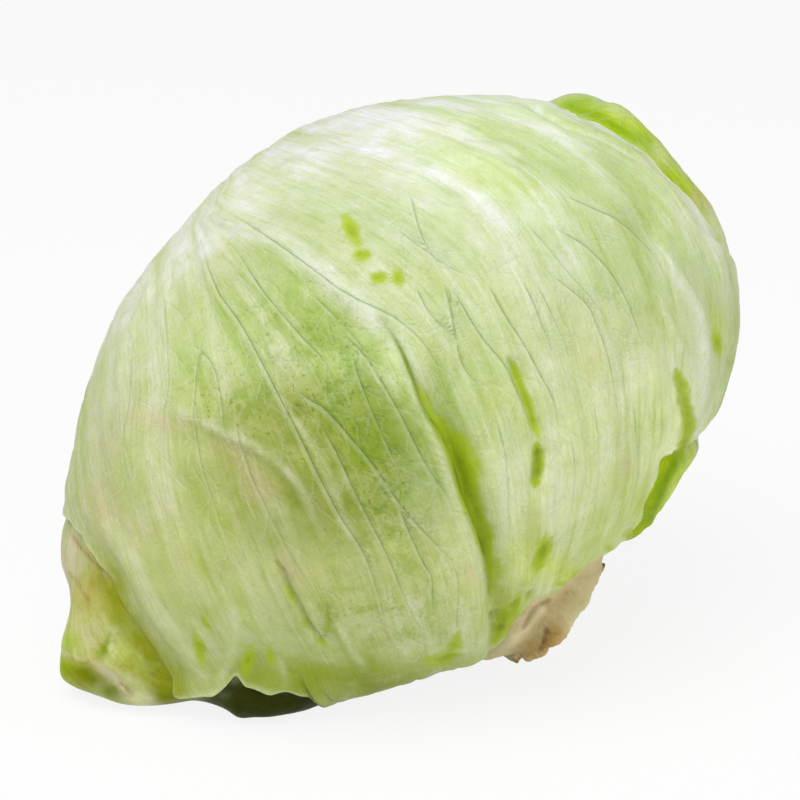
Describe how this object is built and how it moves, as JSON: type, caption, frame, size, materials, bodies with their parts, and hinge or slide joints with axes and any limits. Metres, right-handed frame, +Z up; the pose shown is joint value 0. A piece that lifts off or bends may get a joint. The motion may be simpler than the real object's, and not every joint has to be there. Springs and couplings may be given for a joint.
{
  "type": "batavia lettuce head",
  "caption": "Closed head of crisp lettuce lying on its side: a large pale wrapper leaf folded over the front, more leaves behind it, a cut stem with broken leaf bases.",
  "frame": {"origin": "on the surface the head lies on, under the middle of its bounding box", "axes": "+Z up; +X along the widest way, towards the end where the cut stem is; the fullest side faces -Y"},
  "size_m": [0.1602, 0.1477, 0.1339],
  "materials": {
    "front_leaf": "waxy pale green lettuce leaf with raised pale veins",
    "wrapper_leaf": "waxy yellow-green lettuce leaf with a brighter green margin",
    "head_leaf": "pale crisp lettuce leaf",
    "heart_leaf": "creamy yellow tightly folded leaf",
    "stem_flesh": "cut stem, cream with a rusty brown rim",
    "broken_base": "snapped leaf base, cream and tan with brown edges"
  },
  "bodies": {
    "root": {"front_wrapper_leaf": "front_leaf", "left_wrapper_leaf": "wrapper_leaf", "right_wrapper_leaf": "wrapper_leaf", "under_wrapper_leaf": "wrapper_leaf", "back_wrapper_leaf": "wrapper_leaf", "crown_wrapper_leaf": "wrapper_leaf", "head_leaf_1": "head_leaf", "head_leaf_2": "head_leaf", "head_leaf_3": "head_leaf", "head_leaf_4": "head_leaf", "head_leaf_5": "head_leaf", "head_leaf_6": "head_leaf", "head_leaf_7": "head_leaf", "head_leaf_8": "head_leaf", "heart": "heart_leaf", "stem": "stem_flesh", "broken_leaf_base_1": "broken_base", "broken_leaf_base_2": "broken_base", "broken_leaf_base_3": "broken_base", "broken_leaf_base_4": "broken_base"}
  },
  "joints": []
}
